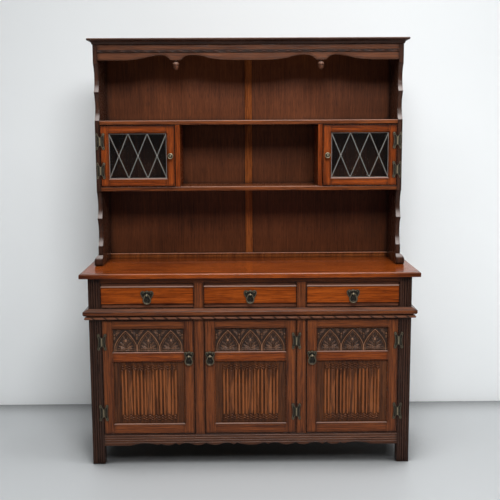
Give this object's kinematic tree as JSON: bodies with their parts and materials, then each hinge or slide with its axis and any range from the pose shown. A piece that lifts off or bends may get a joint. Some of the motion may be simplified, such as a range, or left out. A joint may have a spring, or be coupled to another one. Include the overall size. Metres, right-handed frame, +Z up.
{
  "type": "welsh dresser",
  "caption": "Dark oak welsh dresser: panelled base with moulded drawers over linenfold cupboards, and a plate rack with open shelves, leaded cupboards and a shaped frieze.",
  "frame": {"origin": "on the floor, under the middle of the top board", "axes": "+X to the viewer's right along the front, -Y out of the front, +Z up"},
  "size_m": [1.4, 0.46, 1.78],
  "materials": {
    "oak": "dark stain under satin lacquer",
    "bright_oak": "reddish stain under polished lacquer",
    "dark_oak": "near-black stain under satin lacquer",
    "plain_oak": "bare inside wood, matt",
    "aged_brass": "aged nearly black, rubbed at the edges",
    "knob_brass": "antique, rubbed",
    "lead": "dull grey",
    "glass": "clear"
  },
  "bodies": {
    "carcass": {"base_back": "plain_oak", "base_ends": "oak", "base_hinges": "aged_brass", "bottom_rail": "dark_oak", "carved_strip": "dark_oak", "corner_posts": "dark_oak", "cornice": "dark_oak", "cupboard_floor": "plain_oak", "drawer_runners": "plain_oak", "frieze_board": "oak", "frieze_strip": "dark_oak", "front_frame": "oak", "pendants": "oak", "rack_back_frame": "dark_oak", "rack_back_panels": "dark_oak", "rack_feet": "dark_oak", "rack_hinges": "aged_brass", "rack_partitions": "oak", "rack_shelves": "oak", "rack_sides": "oak", "rack_top_board": "oak", "top_board": "bright_oak", "waist_moulding": "dark_oak"},
    "drawer_left": {"drawer_left_front": "bright_oak", "drawer_left_box": "plain_oak", "drawer_left_pull_plate": "aged_brass"},
    "drawer_left_ring": {"drawer_left_pull_ring": "aged_brass"},
    "door_left": {"door_left_frame": "oak", "door_left_arch_panel": "oak", "door_left_linenfold_panel": "oak", "door_left_fittings": "aged_brass"},
    "door_left_ring": {"door_left_pull_ring": "aged_brass"},
    "drawer_centre": {"drawer_centre_front": "bright_oak", "drawer_centre_box": "plain_oak", "drawer_centre_pull_plate": "aged_brass"},
    "drawer_centre_ring": {"drawer_centre_pull_ring": "aged_brass"},
    "door_centre": {"door_centre_frame": "oak", "door_centre_arch_panel": "oak", "door_centre_linenfold_panel": "oak", "door_centre_fittings": "aged_brass"},
    "door_centre_ring": {"door_centre_pull_ring": "aged_brass"},
    "drawer_right": {"drawer_right_front": "bright_oak", "drawer_right_box": "plain_oak", "drawer_right_pull_plate": "aged_brass"},
    "drawer_right_ring": {"drawer_right_pull_ring": "aged_brass"},
    "door_right": {"door_right_frame": "oak", "door_right_arch_panel": "oak", "door_right_linenfold_panel": "oak", "door_right_fittings": "aged_brass"},
    "door_right_ring": {"door_right_pull_ring": "aged_brass"},
    "glazed_door_left": {"glazed_door_left_frame": "oak", "glazed_door_left_glass": "glass", "glazed_door_left_lead": "lead", "glazed_door_left_knob": "knob_brass", "glazed_door_left_hinge_leaves": "aged_brass"},
    "glazed_door_right": {"glazed_door_right_frame": "oak", "glazed_door_right_glass": "glass", "glazed_door_right_lead": "lead", "glazed_door_right_knob": "knob_brass", "glazed_door_right_hinge_leaves": "aged_brass"}
  },
  "joints": [
    {"name": "drawer_left_slide", "type": "slide", "parent": "carcass", "child": "drawer_left", "axis": [0, -1, 0], "range_m": [0, 0.3]},
    {"name": "drawer_left_ring_swing", "type": "hinge", "parent": "drawer_left", "child": "drawer_left_ring", "pos_m": [-0.42533, -0.216, 0.7285], "axis": [-1, 0, 0], "range_deg": [0, 85]},
    {"name": "drawer_centre_slide", "type": "slide", "parent": "carcass", "child": "drawer_centre", "axis": [0, -1, 0], "range_m": [0, 0.3]},
    {"name": "drawer_centre_ring_swing", "type": "hinge", "parent": "drawer_centre", "child": "drawer_centre_ring", "pos_m": [0, -0.216, 0.7285], "axis": [-1, 0, 0], "range_deg": [0, 85]},
    {"name": "drawer_right_slide", "type": "slide", "parent": "carcass", "child": "drawer_right", "axis": [0, -1, 0], "range_m": [0, 0.3]},
    {"name": "drawer_right_ring_swing", "type": "hinge", "parent": "drawer_right", "child": "drawer_right_ring", "pos_m": [0.42533, -0.216, 0.7285], "axis": [-1, 0, 0], "range_deg": [0, 85]},
    {"name": "door_left_swing", "type": "hinge", "parent": "carcass", "child": "door_left", "pos_m": [-0.617, -0.2096, 0.3775], "axis": [0, 0, -1], "range_deg": [0, 100]},
    {"name": "door_left_ring_swing", "type": "hinge", "parent": "door_left", "child": "door_left_ring", "pos_m": [-0.25667, -0.216, 0.468], "axis": [-1, 0, 0], "range_deg": [0, 85]},
    {"name": "door_centre_swing", "type": "hinge", "parent": "carcass", "child": "door_centre", "pos_m": [0.19167, -0.2096, 0.3775], "axis": [0, 0, 1], "range_deg": [0, 100]},
    {"name": "door_centre_ring_swing", "type": "hinge", "parent": "door_centre", "child": "door_centre_ring", "pos_m": [-0.16867, -0.216, 0.468], "axis": [-1, 0, 0], "range_deg": [0, 85]},
    {"name": "door_right_swing", "type": "hinge", "parent": "carcass", "child": "door_right", "pos_m": [0.617, -0.2096, 0.3775], "axis": [0, 0, 1], "range_deg": [0, 100]},
    {"name": "door_right_ring_swing", "type": "hinge", "parent": "door_right", "child": "door_right_ring", "pos_m": [0.25667, -0.216, 0.468], "axis": [-1, 0, 0], "range_deg": [0, 85]},
    {"name": "glazed_door_left_swing", "type": "hinge", "parent": "carcass", "child": "glazed_door_left", "pos_m": [-0.633, -0.0096, 1.291], "axis": [0, 0, -1], "range_deg": [0, 100]},
    {"name": "glazed_door_right_swing", "type": "hinge", "parent": "carcass", "child": "glazed_door_right", "pos_m": [0.633, -0.0096, 1.291], "axis": [0, 0, 1], "range_deg": [0, 100]}
  ]
}
